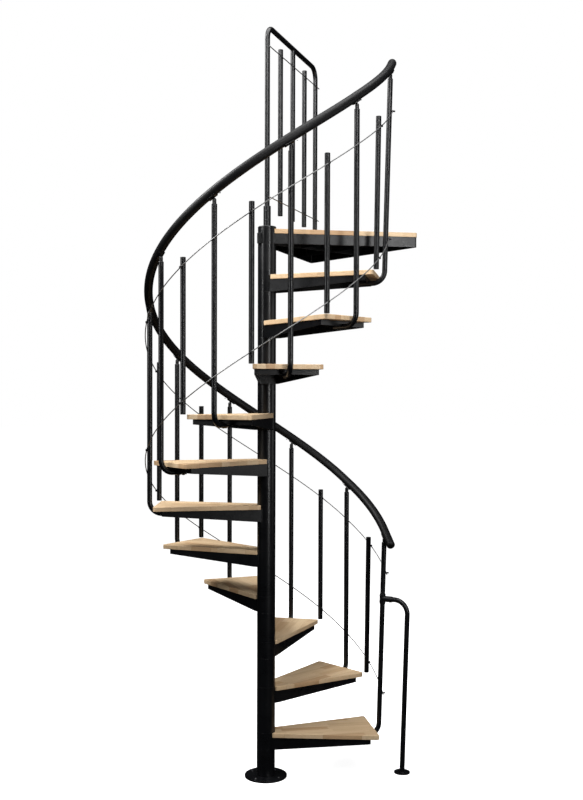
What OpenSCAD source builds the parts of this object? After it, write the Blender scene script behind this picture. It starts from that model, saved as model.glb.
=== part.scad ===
// Modular spiral staircase: beech treads on folded steel supports, stacked on a central
// column, with a helical guard of bars, two wires and a round handrail, and a triangular
// landing with its own guard. Origin: centre of the base plate's underside. +Z is up and
// +X is the centre line of the first tread. The flight climbs anticlockwise from above.

/* [Flight] */
// Diameter of the flight over the handrail
stair_d = 1196; // [1100:1:1600]
// Height from one tread to the next
riser = 225; // [200:1:250]
// Number of treads below the landing
tread_count = 11; // [9:1:12]
// Turn from one tread to the next, in degrees
step_angle = 34; // [24:1:36]

/* [Column] */
// Outside diameter of the column sleeves and hubs
column_d = 90; // [80:1:120]
// Wall of the column sleeves and hubs
sleeve_wall = 6; // [4:0.5:8]
// Wall of the pole inside the sleeves
pole_wall = 4; // [3:0.5:8]
// Diameter of the base plate
base_d = 210; // [180:5:300]
// Thickness of the base plate
base_t = 8; // [6:1:15]
// Circle on which the floor bolts sit
base_bolt_circle = 160; // [150:5:170]
// Diameter of the floor bolt holes
base_bolt_hole_d = 11; // [9:0.5:14]
// Thickness of the cap on top of the column
cap_t = 12; // [8:1:20]

/* [Treads] */
// Thickness of the wooden boards
board_t = 22; // [18:1:40]
// Width of a tread along its outer edge
tread_outer_w = 325; // [280:5:420]
// Width of a tread where it meets the column
tread_inner_w = 98; // [90:1:120]
// Gap between a tread's outer edge and the centre of the bars
tread_to_bar = 37; // [30:1:60]
// Radius of a tread's outer corners
tread_corner_r = 12; // [4:1:20]
// Thickness of the folded steel
steel_t = 3; // [2:0.5:5]
// How far the steel stays inside the sides of the board
steel_side_inset = 6; // [3:1:20]
// How far the steel stays inside the outer edge of the board
steel_end_inset = 42; // [30:1:60]
// Depth of the steel at its outer end
steel_end_h = 24; // [20:1:30]
// Depth of the steel at the column
steel_hub_h = 60; // [50:1:90]

/* [Guard] */
// Diameter of the bars
bar_d = 25; // [20:1:32]
// Diameter of the handrail
handrail_d = 42; // [36:1:50]
// Height of the handrail's centre above the line through the treads
handrail_h = 985; // [900:5:1050]
// Straight run of the handrail past the first long bar
handrail_low_run = 125; // [80:5:150]
// Straight run of the handrail past the last long bar
handrail_high_run = 68; // [50:2:120]
// Outward lean of the first and last long bars, in degrees
end_lean = 1.4; // [0:0.1:2]
// Bend radius at the foot of a long bar
foot_bend_r = 60; // [50:1:80]
// Depth of a long bar's foot below the top of its tread
foot_drop = 47; // [45:1:55]
// Length of a short bar
short_bar_l = 705; // [600:5:760]
// Diameter of the wires
wire_d = 5; // [4:0.5:8]
// Height of the upper wire above the line through the treads
upper_wire_h = 771; // [720:1:790]
// Height of the lower wire above the line through the treads
lower_wire_h = 163; // [150:1:200]

/* [Starting leg] */
// Height of the leg's clamp on the first long bar
leg_clamp_z = 866; // [600:1:900]
// Distance from the first long bar to the leg
leg_offset = 131; // [105:1:150]
// Direction of the leg from the first long bar, in degrees
leg_direction = -35; // [-60:1:60]
// Bend radius of the leg
leg_bend_r = 67; // [55:1:75]
// How far the leg's foot stands in towards the column, in degrees
leg_lean = 1.65; // [0:0.05:3]
// Diameter of the leg's foot
leg_foot_d = 80; // [60:1:100]

/* [Landing] */
// Length of each side of the triangular landing
landing_side = 828; // [760:1:1000]
// Distance from the column's centre to the front and left sides of the landing
landing_edge_offset = 38; // [30:1:44]
// Depth of the landing's steel sides
landing_fascia_h = 50; // [40:1:80]
// Thickness of the landing's steel
landing_steel_t = 4; // [3:0.5:6]
// Radius of the landing board's corners
landing_corner_r = 14; // [5:1:30]
// Height of the landing guard over the landing
landing_guard_h = 1002; // [900:1:1100]
// Length of the landing guard from the column to its far leg
landing_guard_l = 718; // [600:1:730]
// Bend radius of the landing guard
landing_guard_bend_r = 60; // [50:1:90]

/* [Hidden] */
$fn = 96;

// One node for each tread board and for each tread support
function two_digits(i) = str(i < 10 ? "0" : "", i);

// Colours
powder_black = "#1c1c1e";
rail_black = "#161617";
beech = "#d9bd95";
stainless = "#9a9b9c";

// Running clearance of parts that slide over each other
fit_gap = 0.2;

// Column
column_r = column_d / 2;
sleeve_bore_r = column_r - sleeve_wall;
pole_r = sleeve_bore_r - fit_gap;
hub_below = board_t + steel_hub_h;
landing_z = riser * (tread_count + 1);
landing_hub_below = board_t + landing_fascia_h;
landing_hub_above = 2;
column_top = landing_z + landing_hub_above;
cap_edge_r = 4;
base_bolts = 4;

// Flight: the line through the treads climbs one riser for each step of the turn
last_angle = (tread_count - 1) * step_angle;
function tread_angle(i) = (i - 1) * step_angle;
function line_z(a) = riser * (a / step_angle + 1);

// Guard: long bars stand at the middle of each tread, short bars half a step before it
bar_r = bar_d / 2;
guard_r = stair_d / 2 - handrail_d / 2;
handrail_r = handrail_d / 2;
slope = atan(riser / (guard_r * step_angle * PI / 180));
bend_centre_r = guard_r - foot_bend_r;
function short_bar_angle(i) = (i - 1.5) * step_angle;
function lean(a) = end_lean * max(0, 1 - min(a, last_angle - a) / step_angle);
// Height over the line at which a long bar's bend ends, and radius of the bars at a height
function bend_end_h(a) = -foot_drop + foot_bend_r * (1 - sin(lean(a)));
function guard_r_at(a, h) =
    bend_centre_r + foot_bend_r * cos(lean(a)) + (h - bend_end_h(a)) * tan(lean(a));

// Treads
tread_outer_x = guard_r - tread_to_bar;
tread_inner_x = 26;
tread_inner_corner_r = 8;
board_notch_r = column_r + 1;
steel_end_x = tread_outer_x - steel_end_inset;
foot_inner_x = steel_end_x - 52;
saddle_wall = 5;
function board_half_w(x) = tread_inner_w / 2 + (x - tread_inner_x)
    * (tread_outer_w - tread_inner_w) / 2 / (tread_outer_x - tread_inner_x);
function steel_half_w(x) = board_half_w(x) - steel_side_inset;

// Handrail bracket: a curved saddle, with the pin of a long bar against it
bracket_t = 4;
bracket_l = 44;
bracket_angle = 84;
bracket_gap = 0.8;
bracket_out_r = handrail_r + bracket_gap + bracket_t;
// The handrail heads outward at its ends, where the bars lean
end_turn = atan(handrail_h * tan(end_lean) / (guard_r * step_angle * PI / 180));
// Each long bar ends in a narrower pin with a domed top
pin_r = 9;
pin_h = 17;
bar_top_drop = (bracket_out_r + pin_r + fit_gap) / cos(slope);

// Wires and clamps
wire_gap = 0.2;
clamp_d = 11;
clamp_t = 8;
end_clamp_d = 8;
end_clamp_t = 15;
wire_past_bar = 1.2;

// Landing: an equilateral triangle with one corner behind the column
landing_start = -landing_edge_offset / tan(30);
landing_board_start = 10;
landing_steel_inset = 4;
landing_apothem = landing_side * cos(30) + landing_start * cos(30)
    + -landing_edge_offset * sin(30);
socket_d = 36;
socket_h = 100;
guard_socket_top = column_top + cap_t + socket_h;
landing_rail_z = landing_z + landing_guard_h - bar_r;
landing_bar_drop = 60;
landing_bar_clear = 96;
landing_wire_heights = [157, 887];
rib_t = 4;

// A convex outline with round corners: points are [x, y, radius], anticlockwise
function unit(v) = v / norm(v);
function corner(p, q, s, r, n = 8) =
    let (u = unit(p - q), w = unit(s - q), half = acos(u * w) / 2,
         m = unit(u + w), c = q + m * r / sin(half),
         from = q + u * r / tan(half) - c, to = q + w * r / tan(half) - c,
         a0 = atan2(from[1], from[0]), turn = 180 - 2 * half)
    [for (k = [0:n]) c + r * [cos(a0 + turn * k / n), sin(a0 + turn * k / n)]];
function xy(p) = [p[0], p[1]];
function rounded(points) =
    let (n = len(points))
    [for (k = [0:n - 1])
        each corner(xy(points[(k + n - 1) % n]), xy(points[k]), xy(points[(k + 1) % n]),
                    points[k][2])];

// A tube swept along points; each point is [x, y, z, radius]
function xyz(p) = [p[0], p[1], p[2]];
function direction(path, k) =
    unit(xyz(path[min(k + 1, len(path) - 1)]) - xyz(path[max(k - 1, 0)]));
function ring(path, k, sides) =
    let (t = direction(path, k), side = unit(cross(t, [0, 0, 1])), up = cross(side, t))
    [for (s = [0:sides - 1])
        xyz(path[k]) + path[k][3] * (cos(360 * s / sides) * side + sin(360 * s / sides) * up)];
module swept_tube(path, sides) {
    rings = len(path);
    points = [for (k = [0:rings - 1]) each ring(path, k, sides)];
    walls = [for (k = [0:rings - 2], s = [0:sides - 1])
        let (s2 = (s + 1) % sides)
        each [[k * sides + s, (k + 1) * sides + s, (k + 1) * sides + s2],
              [k * sides + s, (k + 1) * sides + s2, k * sides + s2]]];
    low_end = [for (s = [0:sides - 1]) s];
    high_end = [for (s = [sides - 1:-1:0]) (rings - 1) * sides + s];
    polyhedron(points = points, faces = concat(walls, [low_end, high_end]));
}

// A point of the guard at a turn and a height over the line, out by an extra distance
function guard_point(a, h, out = 0) =
    let (r = guard_r_at(a, h) + out) [r * cos(a), r * sin(a), line_z(a) + h];

// The handrail runs straight past its last bars and ends in domes
function rail_tangent(a, sign) =
    unit(guard_point(a, handrail_h) - guard_point(a - sign * 0.5, handrail_h));
function run_out(a, sign, run) =
    let (p = guard_point(a, handrail_h), t = rail_tangent(a, sign), flat = run - handrail_r)
    concat([for (k = [1:3]) concat(p + t * flat * k / 3, handrail_r)],
           [for (b = [30, 55, 75]) concat(p + t * (flat + handrail_r * sin(b)), handrail_r * cos(b))]);
function reversed(list) = [for (k = [len(list) - 1:-1:0]) list[k]];
rail_ring_angle = step_angle / 6;
handrail_path = concat(
    reversed(run_out(0, -1, handrail_low_run)),
    [for (k = [0:6 * (tread_count - 1)])
        concat(guard_point(k * rail_ring_angle, handrail_h), handrail_r)],
    run_out(last_angle, 1, handrail_high_run));

module base_plate() color(powder_black)
    difference() {
        cylinder(d = base_d, h = base_t);
        for (k = [0:base_bolts - 1])
            rotate([0, 0, 45 + 360 / base_bolts * k])
                translate([base_bolt_circle / 2, 0, -1])
                    cylinder(d = base_bolt_hole_d, h = base_t + 2);
    }

module centre_pole() color(powder_black)
    translate([0, 0, base_t])
        difference() {
            cylinder(r = pole_r, h = column_top - base_t);
            translate([0, 0, -1])
                cylinder(r = pole_r - pole_wall, h = column_top - base_t + 2);
        }

module sleeve(z_low, z_high)
    translate([0, 0, z_low])
        difference() {
            cylinder(r = column_r, h = z_high - z_low);
            translate([0, 0, -1])
                cylinder(r = sleeve_bore_r, h = z_high - z_low + 2);
        }

// One sleeve under each hub
module column_sleeves() color(powder_black) {
    sleeve(base_t, riser - hub_below);
    for (i = [2:tread_count])
        sleeve(riser * (i - 1), riser * i - hub_below);
    sleeve(riser * tread_count, landing_z - landing_hub_below);
}

// Round-edged cap with the socket of the landing guard
module column_cap() color(powder_black)
    translate([0, 0, column_top])
        difference() {
            rotate_extrude()
                polygon(concat(
                    [[0, 0], [column_r, 0], [column_r, cap_t - cap_edge_r]],
                    [for (b = [15:15:90]) [column_r - cap_edge_r + cap_edge_r * cos(b),
                                           cap_t - cap_edge_r + cap_edge_r * sin(b)]],
                    [[socket_d / 2, cap_t], [socket_d / 2, cap_t + socket_h],
                     [0, cap_t + socket_h]]));
            translate([0, 0, cap_t])
                cylinder(r = bar_r + fit_gap, h = socket_h + 1);
        }

module tread_outline()
    polygon(rounded([
        [tread_inner_x, -tread_inner_w / 2, tread_inner_corner_r],
        [tread_outer_x, -tread_outer_w / 2, tread_corner_r],
        [tread_outer_x, tread_outer_w / 2, tread_corner_r],
        [tread_inner_x, tread_inner_w / 2, tread_inner_corner_r]]));

module tread_board(i) color(beech)
    translate([0, 0, riser * i - board_t])
        rotate([0, 0, tread_angle(i)])
            difference() {
                linear_extrude(board_t) tread_outline();
                translate([0, 0, -1]) cylinder(r = board_notch_r, h = board_t + 2);
            }

// The wedge of the steel, seen from above, kept back by an inset
module steel_wedge(inset, x_low)
    polygon([
        [x_low, -steel_half_w(x_low) + inset], [steel_end_x - inset, -steel_half_w(steel_end_x) + inset],
        [steel_end_x - inset, steel_half_w(steel_end_x) - inset], [x_low, steel_half_w(x_low) - inset]]);

// Folded steel, open below and deeper towards the column; heights are below the tread's top
module folded_steel()
    difference() {
        intersection() {
            translate([0, 0, -hub_below]) linear_extrude(steel_hub_h) steel_wedge(0, 0);
            rotate([90, 0, 0])
                linear_extrude(tread_outer_w, center = true)
                    polygon([[0, -board_t], [steel_end_x, -board_t],
                             [steel_end_x, -board_t - steel_end_h], [column_r, -hub_below],
                             [0, -hub_below]]);
        }
        translate([0, 0, -hub_below - 1])
            linear_extrude(steel_hub_h + 1 - steel_t) steel_wedge(steel_t, column_r);
        translate([steel_end_x - 2 * steel_t, 0, -foot_drop])
            rotate([0, 90, 0]) cylinder(r = bar_r + fit_gap, h = 3 * steel_t);
    }

// The block under the steel that a long bar's foot is bolted into
module foot_saddle()
    difference() {
        translate([foot_inner_x, -bar_r - saddle_wall, -foot_drop])
            cube([steel_end_x - steel_t - foot_inner_x, bar_d + 2 * saddle_wall,
                  foot_drop - board_t - steel_t]);
        translate([foot_inner_x - 1, 0, -foot_drop])
            rotate([0, 90, 0]) cylinder(r = bar_r + fit_gap, h = steel_end_x);
    }

module tread_support(i) color(powder_black)
    translate([0, 0, riser * i])
        rotate([0, 0, tread_angle(i)])
            difference() {
                union() {
                    folded_steel();
                    foot_saddle();
                    translate([0, 0, -hub_below])
                        cylinder(r = column_r, h = hub_below);
                }
                translate([0, 0, -hub_below - 1])
                    cylinder(r = sleeve_bore_r, h = hub_below + 2);
            }

// A long bar: foot under the tread, bend, bar and pin. One that leans is two solids
module long_bar(a) {
    tilt = lean(a);
    seam = tilt > 0 ? fit_gap : 0;
    bar_l = (handrail_h - bar_top_drop - bend_end_h(a)) / cos(tilt);
    rotate([0, 0, a])
        translate([bend_centre_r, 0, line_z(a) - foot_drop]) {
            translate([foot_inner_x - bend_centre_r, 0, 0])
                rotate([0, 90, 0]) cylinder(r = bar_r, h = bend_centre_r - foot_inner_x);
            translate([0, 0, foot_bend_r])
                rotate([90, 0, 0]) rotate([0, 0, -90])
                    rotate_extrude(angle = 90 - tilt)
                        translate([foot_bend_r, 0]) circle(r = bar_r);
            translate([foot_bend_r * cos(tilt), 0, foot_bend_r * (1 - sin(tilt))])
                rotate([0, tilt, 0]) {
                    translate([0, 0, seam]) cylinder(r = bar_r, h = bar_l - pin_h - seam);
                    translate([0, 0, bar_l - 2 * pin_h]) cylinder(r = pin_r, h = 2 * pin_h);
                    translate([0, 0, bar_l]) sphere(r = pin_r);
                }
        }
}

module long_bars() color(powder_black)
    for (i = [1:tread_count]) long_bar(tread_angle(i));

// A short bar hangs on the wires beside the front corner of its tread
module short_bars() color(powder_black)
    for (i = [2:tread_count]) {
        a = short_bar_angle(i);
        rotate([0, 0, a])
            translate([guard_r_at(a, riser / 2), 0, line_z(a) + riser / 2])
                rotate([0, lean(a), 0]) cylinder(r = bar_r, h = short_bar_l);
    }

module handrail() color(rail_black) swept_tube(handrail_path, 16);

// A saddle lies under the handrail, over the pin of its long bar
module handrail_brackets() color(powder_black)
    for (i = [1:tread_count]) {
        a = tread_angle(i);
        turn = i == 1 ? end_turn : i == tread_count ? -end_turn : 0;
        rotate([0, 0, a])
            translate([guard_r_at(a, handrail_h), 0, line_z(a) + handrail_h])
                rotate([0, 0, turn]) rotate([slope - 90, 0, 0])
                    translate([0, 0, -bar_top_drop * sin(slope)])
                        rotate([0, 0, 90 - bracket_angle / 2])
                            rotate_extrude(angle = bracket_angle)
                                translate([handrail_r + bracket_gap, -bracket_l / 2])
                                    square([bracket_t, bracket_l]);
    }

// The wires pass outside the bars and end just past the first and last long bars
wire_out = bar_r + wire_gap + wire_d / 2;
function wire_path(h) = concat(
    [concat(guard_point(-wire_past_bar, h, wire_out), wire_d / 2)],
    [for (k = [0:6 * (tread_count - 1)])
        concat(guard_point(k * rail_ring_angle, h, wire_out), wire_d / 2)],
    [concat(guard_point(last_angle + wire_past_bar, h, wire_out), wire_d / 2)]);
module upper_wire() color(stainless) swept_tube(wire_path(upper_wire_h), 8);
module lower_wire() color(stainless) swept_tube(wire_path(lower_wire_h), 8);

// A round clamp over a wire where it crosses a bar; those at the wires' ends stand out more
module wire_clamp(a, h, d = clamp_d, t = clamp_t)
    rotate([0, 0, a])
        translate([guard_r_at(a, h), 0, line_z(a) + h])
            difference() {
                rotate([0, 90, 0]) cylinder(d = d, h = bar_r + t);
                rotate([0, lean(a), 0])
                    cylinder(r = bar_r + fit_gap, h = 2 * d, center = true);
                translate([wire_out, 0, 0])
                    rotate([slope - 90, 0, 0])
                        cylinder(r = wire_d / 2 + 2 * wire_gap, h = 3 * d, center = true);
            }
module wire_clamps() color(powder_black)
    for (h = [upper_wire_h, lower_wire_h]) {
        for (i = [2:tread_count]) wire_clamp(short_bar_angle(i), h);
        for (a = [0, last_angle]) wire_clamp(a, h, end_clamp_d, end_clamp_t);
    }

// The leg: a T-shaped clamp on the first long bar, and a tube with a bend and a round foot
// that plugs into it
leg_clamp_h = 50;
leg_clamp_wall = 2.5;
leg_socket_l = 52;
leg_foot_t = 6;
module starting_leg() color(powder_black) {
    h = leg_clamp_z - line_z(0);
    clamp_r = bar_r + leg_clamp_wall;
    straight = leg_offset - leg_bend_r;
    bend_z = leg_clamp_z - leg_bend_r;
    leg_l = (bend_z - leg_foot_t / 2) / cos(leg_lean) - leg_bend_r * tan(leg_lean);
    foot_x = straight + leg_bend_r / cos(leg_lean) - bend_z * tan(leg_lean);
    difference() {
        translate([guard_r_at(0, h), 0, 0]) {
            translate([0, 0, leg_clamp_z]) rotate([0, lean(0), 0])
                cylinder(r = clamp_r, h = leg_clamp_h, center = true);
            rotate([0, 0, leg_direction]) {
                translate([0, 0, leg_clamp_z]) rotate([0, 90, 0])
                    cylinder(r = clamp_r, h = leg_socket_l);
                translate([straight, 0, bend_z]) rotate([90, 0, 0]) rotate([0, 0, -leg_lean]) {
                    rotate_extrude(angle = 90 + leg_lean)
                        translate([leg_bend_r, 0]) circle(r = bar_r);
                    translate([leg_bend_r, 0, 0]) rotate([90, 0, 0])
                        cylinder(r = bar_r, h = leg_l);
                    rotate([0, 0, 90 + leg_lean]) translate([leg_bend_r, 0, 0])
                        rotate([-90, 0, 0]) translate([0, 0, fit_gap])
                            cylinder(r = bar_r, h = straight - fit_gap);
                }
                translate([foot_x, 0, 0]) cylinder(d = leg_foot_d, h = leg_foot_t);
            }
        }
        translate([guard_r_at(0, h), 0, leg_clamp_z]) rotate([0, lean(0), 0])
            cylinder(r = bar_r + fit_gap, h = 2 * leg_clamp_h, center = true);
    }
}

// The landing's triangle, seen from above, kept back by an inset
module landing_outline(inset, corner_r)
    rotate([0, 0, 30]) {
        back = landing_start / cos(30) + 2 * inset;
        front = landing_apothem - inset;
        half = (front - back) * tan(30);
        polygon(rounded([[back, 0, corner_r], [front, -half, corner_r], [front, half, corner_r]]));
    }

module landing_board() color(beech)
    translate([0, 0, landing_z - board_t])
        difference() {
            linear_extrude(board_t)
                difference() {
                    landing_outline(0, landing_corner_r);
                    rotate([0, 0, 30])
                        translate([landing_board_start - landing_side, -landing_side / 2])
                            square([landing_side, landing_side]);
                }
            translate([0, 0, -1]) cylinder(r = board_notch_r, h = board_t + 2);
            far_leg_place()
                translate([0, 0, -1]) cylinder(r = bar_r + fit_gap, h = board_t + 2);
        }

module far_leg_place() rotate([0, 0, 60]) translate([landing_guard_l, 0, 0]) children();

// A steel tray, open below, with ribs and the top hub of the column
module landing_frame() color(powder_black)
    translate([0, 0, landing_z - landing_hub_below])
        difference() {
            union() {
                difference() {
                    linear_extrude(landing_fascia_h) landing_outline(landing_steel_inset, 8);
                    translate([0, 0, -1])
                        linear_extrude(landing_fascia_h + 1 - landing_steel_t)
                            difference() {
                                landing_outline(landing_steel_inset + landing_steel_t, 4);
                                landing_ribs();
                            }
                }
                cylinder(r = column_r, h = landing_hub_below + landing_hub_above);
            }
            translate([0, 0, -1])
                cylinder(r = sleeve_bore_r, h = landing_hub_below + landing_hub_above + 2);
        }

module landing_ribs()
    rotate([0, 0, 30]) {
        translate([0, -rib_t / 2]) square([landing_apothem - landing_steel_inset, rib_t]);
        for (share = [1 / 3, 2 / 3])
            translate([landing_apothem * share, -landing_side / 2])
                square([rib_t, landing_side]);
    }

// The landing guard: one bent tube from the column's socket to the landing's far corner
module guard_bend(turn)
    rotate([90, 0, 0]) rotate([0, 0, turn])
        rotate_extrude(angle = 90) translate([landing_guard_bend_r, 0]) circle(r = bar_r);

module landing_guard_near_leg() color(powder_black)
    rotate([0, 0, 60]) {
        bend_z = landing_rail_z - landing_guard_bend_r;
        translate([0, 0, column_top + cap_t])
            cylinder(r = bar_r, h = bend_z - column_top - cap_t);
        translate([landing_guard_bend_r, 0, bend_z]) guard_bend(90);
    }

module landing_guard_far_leg() color(powder_black)
    far_leg_place() {
        bend_z = landing_rail_z - landing_guard_bend_r;
        translate([0, 0, landing_z - board_t])
            cylinder(r = bar_r, h = bend_z - landing_z + board_t);
        translate([-landing_guard_bend_r, 0, bend_z]) guard_bend(0);
    }

module landing_guard_rail() color(powder_black)
    rotate([0, 0, 60])
        translate([landing_guard_bend_r, 0, landing_rail_z])
            rotate([0, 90, 0])
                cylinder(r = bar_r, h = landing_guard_l - 2 * landing_guard_bend_r);

// The middle bar is welded to the rail; the short ones hang on the wires
module landing_guard_bars() color(powder_black)
    rotate([0, 0, 60])
        for (k = [1:3]) {
            top = k == 2 ? landing_rail_z - bar_r : landing_rail_z - landing_bar_drop;
            low = landing_z + landing_bar_clear;
            difference() {
                translate([landing_guard_l * k / 4, 0, low])
                    cylinder(r = bar_r, h = (k == 2 ? landing_rail_z : top) - low);
                translate([landing_guard_bend_r, 0, landing_rail_z])
                    rotate([0, 90, 0]) cylinder(r = bar_r + fit_gap, h = landing_guard_l);
            }
        }

module landing_guard_wires() color(stainless)
    rotate([0, 0, 60])
        for (h = landing_wire_heights)
            translate([-bar_r, -wire_out, landing_z + h])
                rotate([0, 90, 0]) cylinder(d = wire_d, h = landing_guard_l + 2 * bar_r + 6);

base_plate();
centre_pole();
column_sleeves();
column_cap();
for (i = [1:tread_count]) {
    tread_support(i);
    tread_board(i);
}
long_bars();
short_bars();
handrail();
handrail_brackets();
upper_wire();
lower_wire();
wire_clamps();
starting_leg();
landing_frame();
landing_board();
landing_guard_near_leg();
landing_guard_rail();
landing_guard_far_leg();
landing_guard_bars();
landing_guard_wires();
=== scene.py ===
import math

import bmesh
import bpy
import numpy as np
from mathutils import Matrix, Vector


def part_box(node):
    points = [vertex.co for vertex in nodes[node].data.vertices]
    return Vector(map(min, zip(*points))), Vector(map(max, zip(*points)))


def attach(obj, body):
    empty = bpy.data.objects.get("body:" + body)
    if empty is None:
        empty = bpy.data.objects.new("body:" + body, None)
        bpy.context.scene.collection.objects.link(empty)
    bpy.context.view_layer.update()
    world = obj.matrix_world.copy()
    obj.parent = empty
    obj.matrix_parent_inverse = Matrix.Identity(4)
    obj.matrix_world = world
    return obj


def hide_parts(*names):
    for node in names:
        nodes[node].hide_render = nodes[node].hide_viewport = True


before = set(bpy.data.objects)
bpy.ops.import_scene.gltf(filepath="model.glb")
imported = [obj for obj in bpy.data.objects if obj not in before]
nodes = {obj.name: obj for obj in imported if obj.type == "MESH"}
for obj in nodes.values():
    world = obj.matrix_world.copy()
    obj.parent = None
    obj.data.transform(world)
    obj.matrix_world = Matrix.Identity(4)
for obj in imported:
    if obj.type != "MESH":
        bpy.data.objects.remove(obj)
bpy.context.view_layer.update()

# ---------------------------------------------------------------- sizes read from the frame


def points(node):
    mesh = nodes[node].data
    return np.array([v.co for v in mesh.vertices], float).reshape(-1, 3)


def numbered(prefix):
    return sorted(n for n in nodes if n.startswith(prefix))


def middle_of_guard(node):
    """Radius, half its width and height over the line of a helical piece, from its middle."""
    p = points(node)
    turn = np.degrees(np.arctan2(p[:, 1], p[:, 0])) % 360
    p, turn = p[(turn > 100) & (turn < 240)], turn[(turn > 100) & (turn < 240)]
    radius = np.hypot(p[:, 0], p[:, 1])
    height = p[:, 2] - RISER * (turn / STEP + 1)
    return (float(radius.max() + radius.min()) / 2, float(radius.max() - radius.min()) / 2,
            float(height.max() + height.min()) / 2)


boards = numbered("tread_board_")
supports = numbered("tread_support_")
TREADS = len(boards)
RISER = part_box(boards[0])[1].z
middle = points(boards[1]).mean(axis=0)
STEP = round(math.degrees(math.atan2(middle[1], middle[0])), 1)
LAST = STEP * (TREADS - 1)
LANDING_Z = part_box("landing_board")[1].z
BOARD_T = LANDING_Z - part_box("landing_board")[0].z
BASE_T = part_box("base_plate")[1].z
rail_low, rail_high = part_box("landing_guard_rail")
BAR_R = (rail_high.z - rail_low.z) / 2
GUARD_R, RAIL_R, RAIL_H = middle_of_guard("handrail")
WIRE_GUARD_R, WIRE_R, UPPER_WIRE_H = middle_of_guard("upper_wire")
LOWER_WIRE_H = middle_of_guard("lower_wire")[2]
WIRE_OUT = WIRE_GUARD_R - GUARD_R

# Sizes that the CAD source names too; angles are in degrees
END_LEAN = 1.4
FOOT_BEND_R, FOOT_DROP, FOOT_INNER_X = 0.060, 0.047, 0.446
PIN_R, PIN_H = 0.009, 0.017
BRACKET_OUT = 0.0048
SHORT_BAR_L = 0.705
RAIL_LOW_RUN, RAIL_HIGH_RUN = 0.125, 0.068
WIRE_PAST_BAR = 1.2
LEG_CLAMP_Z, LEG_CLAMP_R, LEG_DIRECTION, LEG_FOOT_R, LEG_FOOT_T = 0.866, 0.015, -35, 0.040, 0.006
CAP_SOCKET_R = 0.018
CLAMP_T, END_CLAMP_T = 0.008, 0.015
HUB_DEPTH = 0.082
BOLT_CIRCLE_R = 0.080
GUARD_BEND_R = 0.060
GUARD_TURN = 60
STEEL_T = 0.003

FIT = 0.0002
SLOPE = math.atan2(RISER, GUARD_R * math.radians(STEP))
BEND_CENTRE_R = GUARD_R - FOOT_BEND_R


def lean(turn):
    return math.radians(END_LEAN) * max(0, 1 - min(turn, LAST - turn) / STEP)


def line_z(turn):
    return RISER * (turn / STEP + 1)


def guard_radius(turn, h):
    bend_end = -FOOT_DROP + FOOT_BEND_R * (1 - math.sin(lean(turn)))
    return (BEND_CENTRE_R + FOOT_BEND_R * math.cos(lean(turn))
            + (h - bend_end) * math.tan(lean(turn)))


def round_z(degrees):
    return Matrix.Rotation(math.radians(degrees), 4, "Z")


def guard_point(turn, h, out=0.0):
    return round_z(turn) @ Vector((guard_radius(turn, h) + out, 0, line_z(turn) + h))


def tread_turn(i):
    return STEP * i


def short_bar_turn(i):
    return STEP * (i - 0.5)


# ---------------------------------------------------------------- materials


class Nodes:
    """Short names for building a node tree."""

    def __init__(self, name):
        self.material = bpy.data.materials.new(name)
        self.material.use_nodes = True
        self.tree = self.material.node_tree
        self.shader = self.tree.nodes["Principled BSDF"]

    def link(self, value, socket):
        if isinstance(value, bpy.types.NodeSocket):
            self.tree.links.new(value, socket)
        else:
            socket.default_value = value

    def add(self, kind, inputs=(), **settings):
        node = self.tree.nodes.new(kind)
        for key, value in settings.items():
            setattr(node, key, value)
        for key, value in dict(inputs).items():
            self.link(value, node.inputs[key])
        return node

    def math(self, operation, a, b=0.0):
        return self.add("ShaderNodeMath", {0: a, 1: b}, operation=operation).outputs[0]

    def join(self, x, y, z):
        return self.add("ShaderNodeCombineXYZ", {0: x, 1: y, 2: z}).outputs[0]

    def noise(self, vector, scale, detail=2.0, roughness=0.5):
        return self.add("ShaderNodeTexNoise", {"Vector": vector, "Scale": scale,
                                               "Detail": detail, "Roughness": roughness}
                        ).outputs["Fac"]

    def between(self, value, low, high, to_low, to_high):
        return self.add("ShaderNodeMapRange",
                        {"Value": value, "From Min": low, "From Max": high,
                         "To Min": to_low, "To Max": to_high}).outputs["Result"]

    def ramp(self, value, stops):
        node = self.add("ShaderNodeValToRGB", {"Fac": value})
        elements = node.color_ramp.elements
        while len(elements) < len(stops):
            elements.new(0.5)
        for element, (place, colour) in zip(elements, stops):
            element.position = place
            element.color = (*colour, 1)
        return node.outputs["Color"]

    def mix(self, factor, a, b, blend="MIX"):
        node = self.add("ShaderNodeMix", {0: factor, 6: a, 7: b}, data_type="RGBA",
                        blend_type=blend)
        return node.outputs[2]

    def bump(self, height, distance, strength=1.0):
        node = self.add("ShaderNodeBump", {"Height": height, "Distance": distance,
                                           "Strength": strength})
        self.link(node.outputs["Normal"], self.shader.inputs["Normal"])

    def set(self, **values):
        for key, value in values.items():
            self.link(value, self.shader.inputs[key.replace("_", " ")])

    def place(self):
        return self.add("ShaderNodeTexCoord").outputs["Object"]


def powder_coat(name, colour, gloss, grain=1400):
    """Satin powder coat: fine orange peel, and gloss that drifts a little over the surface."""
    n = Nodes(name)
    place = n.place()
    peel = n.noise(place, grain, 2.0)
    drift = n.noise(place, 14, 3.0)
    speck = n.noise(place, 5200, 1.0)
    darker = tuple(0.72 * c for c in colour)
    n.set(Base_Color=n.ramp(drift, [(0.35, darker), (0.7, colour)]),
          Roughness=n.math("ADD", n.between(drift, 0.3, 0.7, gloss - 0.03, gloss + 0.04),
                           n.between(speck, 0.3, 0.7, -0.02, 0.02)),
          IOR=1.48, Specular_IOR_Level=0.36)
    n.bump(peel, 0.00002, 0.3)
    return n.material


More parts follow.
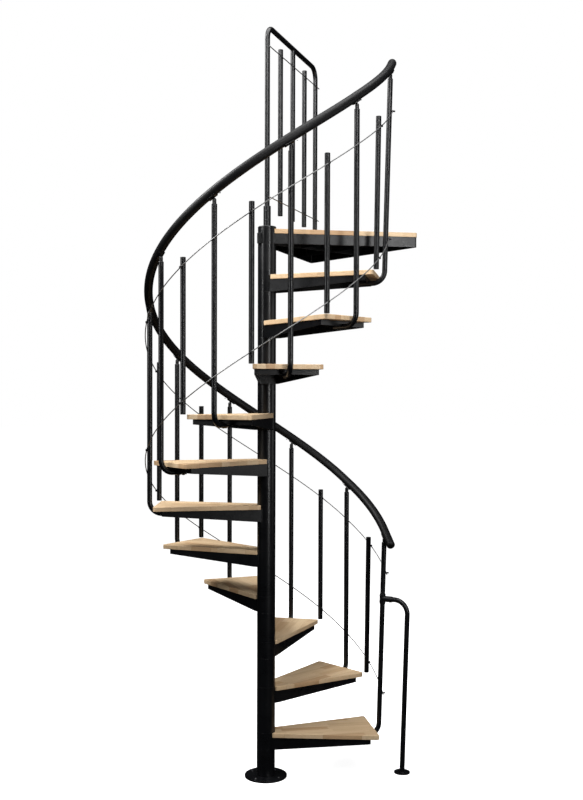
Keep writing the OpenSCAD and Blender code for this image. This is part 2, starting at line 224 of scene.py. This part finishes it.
def rail_plastic(name):
    """Smooth black plastic with a soft sheen and the faint drag lines of its extrusion."""
    n = Nodes(name)
    place = n.place()
    cloud = n.noise(place, 30, 4.0)
    fine = n.noise(place, 900, 3.0)
    n.set(Base_Color=n.ramp(cloud, [(0.3, (0.0030, 0.0030, 0.0032)),
                                    (0.7, (0.0050, 0.0050, 0.0054))]),
          Roughness=n.between(cloud, 0.3, 0.7, 0.44, 0.50), IOR=1.46, Specular_IOR_Level=0.16)
    n.bump(fine, 0.00001, 0.3)
    return n.material


def plain_steel(name, colour, rough, metal):
    """Drawn or turned steel: fine scratches and slightly uneven gloss."""
    n = Nodes(name)
    place = n.place()
    scratch = n.noise(place, 2600, 3.0, 0.7)
    cloud = n.noise(place, 60, 2.0)
    darker = tuple(0.8 * c for c in colour)
    n.set(Base_Color=n.ramp(cloud, [(0.3, darker), (0.7, colour)]), Metallic=metal,
          Roughness=n.between(scratch, 0.3, 0.7, rough - 0.06, rough + 0.08))
    n.bump(scratch, 0.00003, 0.5)
    return n.material


def jointed_wood(name):
    """Strips along the grain, each of blocks that meet in finger joints, under satin lacquer.
    The grain attribute holds metres along the strips, across them and up through the board."""
    strip_w, block_l, finger_l, finger_w, glue_w = 0.041, 0.235, 0.010, 0.0044, 0.00035
    n = Nodes(name)
    grain = n.add("ShaderNodeAttribute", attribute_name="grain").outputs["Vector"]
    split = n.add("ShaderNodeSeparateXYZ", {0: grain})
    along, across, up = split.outputs

    def scatter(*values):
        return n.add("ShaderNodeTexWhiteNoise", {"Vector": n.join(*values)},
                     noise_dimensions="3D")

    strips = n.math("DIVIDE", across, strip_w)
    strip = n.math("FLOOR", strips)
    strip_luck = scatter(strip, 3.7, 1.3).outputs["Value"]
    finger = n.math("MULTIPLY", n.math("PINGPONG", across, finger_w / 2),
                    2 * finger_l / finger_w)
    blocks = n.math("ADD", n.math("DIVIDE", n.math("ADD", along, finger), block_l),
                    n.math("MULTIPLY", strip_luck, 7.0))
    block = n.math("FLOOR", blocks)
    luck = scatter(strip, block, 5.1)
    tone, shift = luck.outputs["Value"], luck.outputs["Color"]

    shifted = n.add("ShaderNodeVectorMath", {0: grain, 1: shift}, operation="ADD").outputs[0]

    def stretched(x, y, z):
        return n.add("ShaderNodeVectorMath", {0: shifted, 1: (x, y, z)},
                     operation="MULTIPLY").outputs[0]

    bands = n.noise(stretched(2.2, 46, 46), 1.0, 3.0, 0.55)
    streaks = n.noise(stretched(9, 420, 420), 1.0, 3.0, 0.6)
    flecks = n.noise(stretched(110, 1500, 900), 1.0, 1.0, 0.5)

    body = n.ramp(tone, [(0.0, (0.655, 0.500, 0.322)), (0.34, (0.590, 0.430, 0.262)),
                         (0.62, (0.635, 0.478, 0.304)), (0.82, (0.545, 0.378, 0.222)),
                         (1.0, (0.460, 0.300, 0.168))])
    colour = n.mix(n.between(bands, 0.35, 0.70, 0.0, 0.45), body, (0.34, 0.20, 0.10, 1),
                   "MULTIPLY")
    colour = n.mix(n.between(bands, 0.35, 0.70, 0.0, 0.55), body, colour)
    colour = n.mix(n.between(streaks, 0.40, 0.75, 0.0, 0.30), colour, (0.30, 0.175, 0.09, 1))
    colour = n.mix(n.between(flecks, 0.62, 0.72, 0.0, 0.35), colour, (0.22, 0.12, 0.06, 1))

    def seam(value, width):
        edge = n.math("PINGPONG", value, 0.5)
        return n.between(edge, 0.0, width, 1.0, 0.0)

    glue = n.math("MAXIMUM", seam(strips, glue_w / strip_w), seam(blocks, glue_w / block_l))
    colour = n.mix(n.math("MULTIPLY", glue, 0.42), colour, (0.16, 0.085, 0.04, 1))
    n.set(Base_Color=colour, Roughness=n.between(streaks, 0.3, 0.7, 0.40, 0.50),
          Specular_IOR_Level=0.22, Coat_Weight=0.04, Coat_Roughness=0.28)
    height = n.math("SUBTRACT", n.math("MULTIPLY", streaks, 0.5),
                    n.math("ADD", n.math("MULTIPLY", glue, 0.6),
                           n.between(flecks, 0.62, 0.72, 0.0, 0.4)))
    n.bump(height, 0.00012, 0.6)
    return n.material


COAT = powder_coat("powder_coat", (0.0036, 0.0038, 0.0046), 0.29)
CAST = powder_coat("moulded_black", (0.0036, 0.0036, 0.0040), 0.38, 700)
RAIL = rail_plastic("rail_plastic")
WIRE = plain_steel("wire_stainless", (0.17, 0.17, 0.17), 0.38, 0.9)
SCREW = plain_steel("screw_black_zinc", (0.045, 0.045, 0.048), 0.36, 0.85)
WOOD = jointed_wood("jointed_beech")

# ---------------------------------------------------------------- making pieces

ROUND_STEPS, BEND_STEPS = 6, 16
SOFT_EDGE = math.radians(40)  # a sharper edge than this is rounded
FLAT_JOINT = math.radians(0.2)  # faces that meet flatter than this become one


def piece(name, bm, material, *replaced, flat=35):
    """A piece of the stair from a mesh, smooth except at edges sharper than flat degrees."""
    bmesh.ops.recalc_face_normals(bm, faces=bm.faces)
    mesh = bpy.data.meshes.new(name)
    bm.to_mesh(mesh)
    bm.free()
    mesh.shade_smooth()
    mesh.set_sharp_from_angle(angle=math.radians(flat))
    mesh.materials.append(material)
    made = bpy.data.objects.new(name, mesh)
    bpy.context.scene.collection.objects.link(made)
    made.modifiers.new("even_normals", "WEIGHTED_NORMAL").keep_sharp = True
    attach(made, "root")
    if replaced:
        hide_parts(*replaced)
    return made


def add_rings(bm, rings, sides):
    """Joins rings of vertices into a skin, with a face over each end."""
    made = [[bm.verts.new(p) for p in ring] for ring in rings]
    for low, high in zip(made, made[1:]):
        for s in range(sides):
            t = (s + 1) % sides
            bm.faces.new((low[s], low[t], high[t], high[s]))
    bm.faces.new(made[0][::-1])
    bm.faces.new(made[-1])


def end_profile(radius, rounding):
    """How a rounded end closes: pairs of distance from the tip and radius, tip first."""
    turns = [math.pi / 2 * k / ROUND_STEPS for k in range(ROUND_STEPS + 1)]
    return [(rounding - rounding * math.cos(t), max(radius - rounding + rounding * math.sin(t),
                                                    radius * 0.02)) for t in turns]


def add_tube(bm, path, radius, sides=32, rounding=(0.0005, 0.0005)):
    """A round tube along a path, with its two ends rounded by the given radii."""
    path = [Vector(p) for p in path]
    headings = [(path[min(k + 1, len(path) - 1)] - path[max(k - 1, 0)]).normalized()
                for k in range(len(path))]
    stations = []
    for gap, r in end_profile(radius, rounding[0]):
        stations.append((path[0] + headings[0] * gap, headings[0], r))
    for p, t in zip(path[1:-1], headings[1:-1]):
        stations.append((p, t, radius))
    for gap, r in reversed(end_profile(radius, rounding[1])):
        stations.append((path[-1] - headings[-1] * gap, headings[-1], r))
    side = headings[0].orthogonal().normalized()
    rings = []
    for centre, heading, r in stations:
        side = (side - heading * side.dot(heading)).normalized()
        up = heading.cross(side)
        rings.append([centre + r * (math.cos(a) * side + math.sin(a) * up)
                      for a in (2 * math.pi * s / sides for s in range(sides))])
    add_rings(bm, rings, sides)


def arc(centre, u, v, radius, start, stop):
    """Points on a circle in the plane of u and v, from one angle to another in degrees."""
    centre, u, v = Vector(centre), Vector(u), Vector(v)
    turns = [math.radians(start + (stop - start) * k / BEND_STEPS)
             for k in range(BEND_STEPS + 1)]
    return [centre + radius * (math.cos(a) * u + math.sin(a) * v) for a in turns]


def moved(bm, make, matrix):
    """Runs make(bm) and moves what it added by the matrix."""
    before = len(bm.verts)
    make(bm)
    bm.verts.ensure_lookup_table()
    bmesh.ops.transform(bm, matrix=matrix, verts=bm.verts[before:])


def facing(place, axis):
    """A matrix that puts the origin at a place and turns +Z to an axis."""
    return Matrix.Translation(place) @ Vector(axis).to_track_quat("Z", "X").to_matrix().to_4x4()


def turned(profile, sides=24):
    """A function that adds a solid of revolution about Z; the profile is (radius, z) pairs."""
    def make(bm):
        add_rings(bm, [[Vector((r * math.cos(a), r * math.sin(a), z))
                        for a in (2 * math.pi * s / sides for s in range(sides))]
                       for r, z in profile], sides)
    return make


def socket_screw(radius, height, sides=24):
    """A function that adds a button head with a hexagon socket, standing on z = 0."""
    inner, deep = 0.46 * radius, 0.62 * height
    profile = [(radius, -0.0002), (radius, 0.2 * height), (0.93 * radius, 0.55 * height),
               (0.75 * radius, 0.85 * height), (0.58 * radius, height)]

    def make(bm):
        angles = [2 * math.pi * s / sides for s in range(sides)]
        rings = [[Vector((r * math.cos(a), r * math.sin(a), z)) for a in angles]
                 for r, z in profile]
        for z in (height, height - deep):
            rings.append([Vector((math.cos(a), math.sin(a), 0)) * inner
                          / math.cos((a + math.pi / 6) % (math.pi / 3) - math.pi / 6)
                          + Vector((0, 0, z)) for a in angles])
        add_rings(bm, rings, sides)
    return make


def eased(name, node, width, material, segments=2):
    """A copy of a CAD node's shape with its sharp edges rounded."""
    bm = bmesh.new()
    bm.from_mesh(nodes[node].data)
    bmesh.ops.remove_doubles(bm, verts=bm.verts, dist=1e-6)
    bmesh.ops.dissolve_limit(bm, angle_limit=FLAT_JOINT, verts=bm.verts, edges=bm.edges)
    sharp = [e for e in bm.edges
             if len(e.link_faces) == 2 and e.calc_face_angle(0) > SOFT_EDGE]
    bmesh.ops.bevel(bm, geom=sharp, offset=width, segments=segments, profile=0.5,
                    affect="EDGES", clamp_overlap=True, loop_slide=True)
    return piece(name, bm, material, node)


def set_grain(made, to_local, offset):
    """Writes the grain attribute: each point along, across and up in the board's own frame."""
    mesh = made.data
    attribute = mesh.attributes.new("grain", "FLOAT_VECTOR", "POINT")
    local = [to_local @ v.co + offset for v in mesh.vertices]
    attribute.data.foreach_set("vector", np.array(local, np.float32).ravel())


# ---------------------------------------------------------------- camera, light and floor

scene = bpy.context.scene
EYE_BEARING, EYE_DISTANCE, EYE_HEIGHT = -98.344, 5.0806, 1.8793
EYE = round_z(EYE_BEARING) @ Vector((EYE_DISTANCE, 0, EYE_HEIGHT))
EYE_HEADING, EYE_PITCH, EYE_ROLL = 80.734, -1.389, 0.163
SENSOR, LENS = 36.0, 63.723  # mm
LENS_SHIFT = (0.0142, 0.0380)

camera_data = bpy.data.cameras.new("camera")
camera_data.sensor_fit = "HORIZONTAL"
camera_data.sensor_width = SENSOR
camera_data.lens = LENS
camera_data.shift_x, camera_data.shift_y = LENS_SHIFT
camera = bpy.data.objects.new("camera", camera_data)
camera.matrix_world = (Matrix.Translation(EYE) @ round_z(EYE_HEADING - 90)
                       @ Matrix.Rotation(math.radians(90 + EYE_PITCH), 4, "X")
                       @ Matrix.Rotation(math.radians(EYE_ROLL), 4, "Z"))
scene.collection.objects.link(camera)
scene.camera = camera
scene.view_settings.view_transform = "Standard"


def area_light(name, bearing, distance, height, aim_z, size, power, spread=180):
    """A soft box at a bearing from the column, in degrees, aimed at a height on it."""
    data = bpy.data.lights.new(name, "AREA")
    data.shape = "RECTANGLE"
    data.size, data.size_y = size
    data.energy = power
    data.spread = math.radians(spread)
    made = bpy.data.objects.new(name, data)
    place = round_z(bearing) @ Vector((distance, 0, height))
    made.matrix_world = (Matrix.Translation(place)
                         @ (place - Vector((0, 0, aim_z))).to_track_quat("Z", "Y")
                         .to_matrix().to_4x4())
    scene.collection.objects.link(made)


# Tall narrow boxes draw the bright lines down the bars and the column
FRONT = -98.4
area_light("front_box", FRONT + 8, 4.4, 5.0, 3.0, (2.4, 1.0), 34, 88)
area_light("right_box", FRONT + 32, 3.7, 2.6, 2.6, (0.30, 3.4), 66)
area_light("right_panel", FRONT + 85, 3.8, 2.4, 2.4, (1.6, 2.4), 18)
area_light("left_box", FRONT - 58, 3.7, 3.3, 3.3, (0.30, 2.6), 56)
area_light("left_high_box", FRONT - 92, 2.6, 4.8, 1.2, (1.5, 1.5), 82, 110)
area_light("top_box", FRONT, 0.9, 5.6, 0.0, (3.6, 3.2), 235)

world = bpy.data.worlds.new("studio")
scene.world = world
world.use_nodes = True
tree = world.node_tree
background = tree.nodes["Background"]
light_path = tree.nodes.new("ShaderNodeLightPath")
mixer = tree.nodes.new("ShaderNodeMix")
mixer.data_type = "RGBA"
mixer.inputs[6].default_value = (0.010, 0.010, 0.0105, 1)
mixer.inputs[7].default_value = (1.0, 1.0, 1.0, 1)
tree.links.new(light_path.outputs["Is Camera Ray"], mixer.inputs[0])
tree.links.new(mixer.outputs[2], background.inputs["Color"])

FLOOR_HALF, FLOOR_DROP = 60, 0.0005
# Painted shade: the floor glows less near the column, 0.86 inside one metre and rising to full white
# at three metres, so it is greyer round the stair's base
PAINTED_SHADE_GLOW, PAPER_WHITE = (1.0, 0.86), (3.0, 1.0)  # distance from the column, glow

floor_bm = bmesh.new()
bmesh.ops.create_grid(floor_bm, x_segments=1, y_segments=1, size=FLOOR_HALF)
floor_mesh = bpy.data.meshes.new("floor")
floor_bm.to_mesh(floor_mesh)
floor_bm.free()
floor = bpy.data.objects.new("floor", floor_mesh)
floor.location.z = -FLOOR_DROP
floor.visible_glossy = False
floor.visible_diffuse = False
scene.collection.objects.link(floor)
paper = Nodes("floor_paper")
# The floor's glow grows with distance from the column: painted shade round the stair's base, and an
# evenly white glow farther off
from_column = paper.add("ShaderNodeVectorMath", {0: paper.place()},
                        operation="LENGTH").outputs["Value"]
paper.set(Base_Color=(0.82, 0.82, 0.82, 1), Roughness=0.9, Specular_IOR_Level=0.0,
          Emission_Color=(1, 1, 1, 1),
          Emission_Strength=paper.between(from_column, PAINTED_SHADE_GLOW[0], PAPER_WHITE[0],
                                          PAINTED_SHADE_GLOW[1], PAPER_WHITE[1]))
floor_mesh.materials.append(paper.material)

# ---------------------------------------------------------------- boards

BOARD_EDGE = 0.0022
HALF_STRIP = 0.0205  # puts a strip's middle on the tread's centre line
NEXT_ALONG, NEXT_ACROSS = 0.613, 0.451  # where the next tread's wood is cut from
LANDING_CUT = Vector((8.21, 7.013, 0))

for i, node in enumerate(boards):
    board = eased(f"board_{i + 1:02d}", node, BOARD_EDGE, WOOD, segments=3)
    set_grain(board, round_z(-tread_turn(i)),
              Vector((NEXT_ALONG * i, HALF_STRIP + NEXT_ACROSS * i, 0)))
landing = eased("landing_top", "landing_board", BOARD_EDGE, WOOD, segments=3)
set_grain(landing, Matrix.Identity(4), LANDING_CUT)

# ---------------------------------------------------------------- steel kept from the CAD

FOLDED_EDGE, SLEEVE_EDGE, MOULDED_EDGE, LEG_EDGE = 0.0009, 0.0008, 0.0006, 0.0012

for node in supports + ["base_plate", "column_cap", "landing_frame"]:
    eased(node.replace("tread_support", "support") + "_steel", node, FOLDED_EDGE, COAT)
eased("sleeves", "column_sleeves", SLEEVE_EDGE, COAT)
eased("rail_saddles", "handrail_brackets", MOULDED_EDGE, CAST)
eased("wire_bosses", "wire_clamps", MOULDED_EDGE, CAST)
eased("leg_steel", "starting_leg", LEG_EDGE, COAT)
# The pole keeps its CAD shape, which the sleeves hide
for slot in nodes["centre_pole"].material_slots:
    slot.link = "OBJECT"
    slot.material = COAT

# ---------------------------------------------------------------- guard

BAR_SIDES, PIN_SIDES, RAIL_SIDES, WIRE_SIDES = 40, 32, 56, 16
BAR_FOOT_ROUND, BAR_TOP_ROUND, TUBE_WALL = 0.001, 0.0022, 0.002
PIN_INSIDE = 0.002
CAP_T, CAP_SEAM, CAP_ROUND = 0.004, 0.0003, 0.0018
SPIGOT_L, SPIGOT_SIDES = 0.012, 24
RAIL_ROUND = (0.013, 0.017)
WIRE_ROUND = 0.0008
RAIL_STEPS = 24 * (TREADS - 1)

bar_bm, cap_bm, pin_bm = bmesh.new(), bmesh.new(), bmesh.new()
for i in range(TREADS):
    turn = tread_turn(i)
    tilt = lean(turn)
    drop = (RAIL_R + BRACKET_OUT + PIN_R + FIT) / math.cos(SLOPE)
    centre = Vector((BEND_CENTRE_R, 0, line_z(turn) - FOOT_DROP + FOOT_BEND_R))
    up = Vector((math.sin(tilt), 0, math.cos(tilt)))
    bend = arc(centre, (1, 0, 0), (0, 0, 1), FOOT_BEND_R, -90, -math.degrees(tilt))
    to_rail = (line_z(turn) + RAIL_H - drop - bend[-1].z) / math.cos(tilt)
    top = bend[-1] + up * (to_rail - PIN_H)
    foot = Vector((FOOT_INNER_X, 0, bend[0].z))
    route = [foot, foot.lerp(bend[0], 0.5), *bend, bend[-1].lerp(top, 0.5), top]
    moved(bar_bm, lambda bm: add_tube(bm, route, BAR_R, BAR_SIDES,
                                      (BAR_FOOT_ROUND, BAR_TOP_ROUND)), round_z(turn))
    pin = [top - up * PIN_INSIDE, top + up * PIN_H * 0.5, top + up * (PIN_H + PIN_R)]
    moved(pin_bm, lambda bm: add_tube(bm, pin, PIN_R, PIN_SIDES, (0.0005, PIN_R)),
          round_z(turn))
piece("bars_long", bar_bm, COAT, "long_bars")
piece("bar_pins", pin_bm, CAST)

bar_bm = bmesh.new()
for i in range(1, TREADS):
    turn = short_bar_turn(i)
    low = round_z(turn) @ Vector((guard_radius(turn, RISER / 2), 0, line_z(turn) + RISER / 2))
    axis = round_z(turn) @ Vector((math.sin(lean(turn)), 0, math.cos(lean(turn))))
    high = low + axis * SHORT_BAR_L
    inner = CAP_T + CAP_SEAM
    add_tube(bar_bm, [low + axis * inner, low.lerp(high, 0.5), high - axis * inner], BAR_R,
             BAR_SIDES)
    for end, way in ((low, axis), (high, -axis)):
        add_tube(cap_bm, [end, end + way * CAP_T / 2, end + way * CAP_T], BAR_R, BAR_SIDES,
                 (CAP_ROUND, 0.0002))
        add_tube(cap_bm, [end + way * CAP_T / 2, end + way * SPIGOT_L / 2,
                          end + way * SPIGOT_L], BAR_R - TUBE_WALL, SPIGOT_SIDES)
piece("bars_short", bar_bm, COAT, "short_bars")
piece("bar_caps", cap_bm, CAST)


def rail_heading(turn, sign):
    near = guard_point(turn - sign * 0.5, RAIL_H)
    return (guard_point(turn, RAIL_H) - near).normalized()


low_end, high_end = guard_point(0, RAIL_H), guard_point(LAST, RAIL_H)
low_way, high_way = rail_heading(0, -1), rail_heading(LAST, 1)
helix = [guard_point(LAST * k / RAIL_STEPS, RAIL_H) for k in range(RAIL_STEPS + 1)]
route = ([low_end + low_way * RAIL_LOW_RUN * k / 5 for k in (5, 4, 3, 2, 1)] + helix
         + [high_end + high_way * RAIL_HIGH_RUN * k / 4 for k in (1, 2, 3, 4)])
rail_bm = bmesh.new()
add_tube(rail_bm, route, RAIL_R, RAIL_SIDES, RAIL_ROUND)
piece("rail", rail_bm, RAIL, "handrail")


def wire_route(h):
    ends = [-WIRE_PAST_BAR, LAST + WIRE_PAST_BAR]
    return ([guard_point(ends[0], h, WIRE_OUT)]
            + [guard_point(LAST * k / RAIL_STEPS, h, WIRE_OUT) for k in range(RAIL_STEPS + 1)]
            + [guard_point(ends[1], h, WIRE_OUT)])


for name, node, h in (("wire_high", "upper_wire", UPPER_WIRE_H),
                      ("wire_low", "lower_wire", LOWER_WIRE_H)):
    wire_bm = bmesh.new()
    add_tube(wire_bm, wire_route(h), WIRE_R, WIRE_SIDES, (WIRE_ROUND, WIRE_ROUND))
    piece(name, wire_bm, WIRE, node)

# ---------------------------------------------------------------- landing guard

GUARD_BAR_EDGE = 0.0016
GUARD_Z = (rail_low.z + rail_high.z) / 2
GUARD_L = ((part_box("landing_guard_far_leg")[1].x - BAR_R)
           / math.cos(math.radians(GUARD_TURN)))
near_foot, far_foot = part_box("landing_guard_near_leg")[0].z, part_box("landing_guard_far_leg")[0].z
bend_z = GUARD_Z - GUARD_BEND_R
route = ([Vector((0, 0, near_foot)), Vector((0, 0, (near_foot + bend_z) / 2))]
         + arc((GUARD_BEND_R, 0, bend_z), (1, 0, 0), (0, 0, 1), GUARD_BEND_R, 180, 90)
         + arc((GUARD_L - GUARD_BEND_R, 0, bend_z), (1, 0, 0), (0, 0, 1), GUARD_BEND_R, 90, 0)
         + [Vector((GUARD_L, 0, (far_foot + bend_z) / 2)), Vector((GUARD_L, 0, far_foot))])
frame_bm = bmesh.new()
moved(frame_bm, lambda bm: add_tube(bm, route, BAR_R, BAR_SIDES), round_z(GUARD_TURN))
piece("landing_guard_tube", frame_bm, COAT, "landing_guard_near_leg", "landing_guard_rail",
      "landing_guard_far_leg")
eased("landing_bars", "landing_guard_bars", GUARD_BAR_EDGE, COAT)
eased("landing_wires", "landing_guard_wires", WIRE_ROUND, WIRE)

# ---------------------------------------------------------------- screws and bolts

# Radius and height of each head, and how far heads are let into what they hold
SADDLE_SCREW, BOARD_SCREW, BRACKET_SCREW = (0.0065, 0.0034), (0.0055, 0.0028), (0.0038, 0.0018)
FLOOR_BOLT, LEG_FOOT_SCREW = (0.0080, 0.0042), (0.0050, 0.0024)
LEG_CLAMP_SCREW, CAP_SCREW, WIRE_SCREW = (0.0045, 0.0016), (0.0045, 0.0018), (0.0031, 0.0009)
LET_IN, LET_IN_BRACKET, LET_IN_WIRE = 0.0003, 0.0002, 0.0004

# Where the screws are, from the axis or the middle of what they hold
SADDLE_SCREWS_X = (0.460, 0.484)
BOARD_SCREWS_XY = ((0.120, 0.030), (0.270, 0.070), (0.420, 0.110))
BRACKET_SCREW_OFF, FOOT_SCREWS_R = 0.016, 0.027
CLAMP_SCREWS_Z, CLAMP_TEE_X, CAP_SCREWS_DOWN = (-0.014, 0.014), 0.040, (0.025, 0.070)
WASHER = [(0.0095, -0.0001), (0.0095, 0.0011), (0.0090, 0.0015)]
WASHER_T = WASHER[-1][1]

UP, DOWN = Vector((0, 0, 1)), Vector((0, 0, -1))
screws = bmesh.new()


def put_screw(place, axis, size):
    moved(screws, socket_screw(*size), facing(place, axis))


for i in range(TREADS):
    spin = round_z(tread_turn(i))
    top = line_z(tread_turn(i))
    for x in SADDLE_SCREWS_X:
        put_screw(spin @ Vector((x, 0, top - FOOT_DROP - BAR_R + LET_IN)), DOWN, SADDLE_SCREW)
    for x, y in BOARD_SCREWS_XY:
        for side in (1, -1):
            put_screw(spin @ Vector((x, side * y, top - BOARD_T - STEEL_T)), DOWN, BOARD_SCREW)
    place = guard_point(tread_turn(i), RAIL_H)
    along = spin @ Vector((0, math.cos(SLOPE), math.sin(SLOPE)))
    under = spin @ Vector((0, math.sin(SLOPE), -math.cos(SLOPE)))
    for way in (-1, 1):
        put_screw(place + under * (RAIL_R + BRACKET_OUT - LET_IN_BRACKET)
                  + along * way * BRACKET_SCREW_OFF, under, BRACKET_SCREW)

for k in range(4):
    place = round_z(45 + 90 * k) @ Vector((BOLT_CIRCLE_R, 0, BASE_T))
    moved(screws, turned(WASHER), Matrix.Translation(place))
    put_screw(place + UP * WASHER_T, UP, FLOOR_BOLT)

leg_low, leg_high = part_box("starting_leg")
leg_foot = Vector((leg_high.x - LEG_FOOT_R, leg_low.y + LEG_FOOT_R, LEG_FOOT_T))
for k in range(3):
    spin = round_z(LEG_DIRECTION + 60 + 120 * k)
    put_screw(leg_foot + spin @ Vector((FOOT_SCREWS_R, 0, 0)), UP, LEG_FOOT_SCREW)
clamp = guard_point(0, LEG_CLAMP_Z - line_z(0))
clamp_back = round_z(LEG_DIRECTION + 180) @ Vector((1, 0, 0))
for up in CLAMP_SCREWS_Z:
    put_screw(clamp + clamp_back * (LEG_CLAMP_R - LET_IN)
              + Vector((math.tan(lean(0)) * up, 0, up)), clamp_back, LEG_CLAMP_SCREW)
put_screw(clamp + round_z(LEG_DIRECTION) @ Vector((CLAMP_TEE_X, 0, -LEG_CLAMP_R + LET_IN)),
          DOWN, LEG_CLAMP_SCREW)

cap_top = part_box("column_cap")[1].z
guard_back = round_z(GUARD_TURN + 180) @ Vector((1, 0, 0))
for down in CAP_SCREWS_DOWN:
    put_screw(guard_back * (CAP_SOCKET_R - LET_IN) + UP * (cap_top - down), guard_back,
              CAP_SCREW)

held_at = [(short_bar_turn(i), CLAMP_T) for i in range(1, TREADS)]
held_at += [(0, END_CLAMP_T), (LAST, END_CLAMP_T)]
for h in (UPPER_WIRE_H, LOWER_WIRE_H):
    for turn, clamp_t in held_at:
        put_screw(guard_point(turn, h, BAR_R + clamp_t - LET_IN_WIRE),
                  round_z(turn) @ Vector((1, 0, 0)), WIRE_SCREW)

piece("screws", screws, SCREW, flat=30)

# Weld beads where the folded steel meets each hub
BEAD_X, BEAD_Y, BEAD_R, BEAD_SIDES = 0.0186, 0.0418, 0.0022, 10
BEAD_INSET, BEAD_RIPPLE, BEAD_STEPS = 0.003, 0.0004, 24

beads = bmesh.new()
for i in range(TREADS):
    top = line_z(tread_turn(i))
    for side in (-1, 1):
        low = Vector((BEAD_X, side * BEAD_Y, top - HUB_DEPTH + BEAD_INSET))
        high = Vector((BEAD_X, side * BEAD_Y, top - BOARD_T - BEAD_INSET))
        path = [low.lerp(high, k / BEAD_STEPS) + Vector((0, side * BEAD_RIPPLE * (k % 2), 0))
                for k in range(BEAD_STEPS + 1)]
        moved(beads, lambda bm: add_tube(bm, path, BEAD_R, BEAD_SIDES), round_z(tread_turn(i)))
piece("weld_beads", beads, COAT)
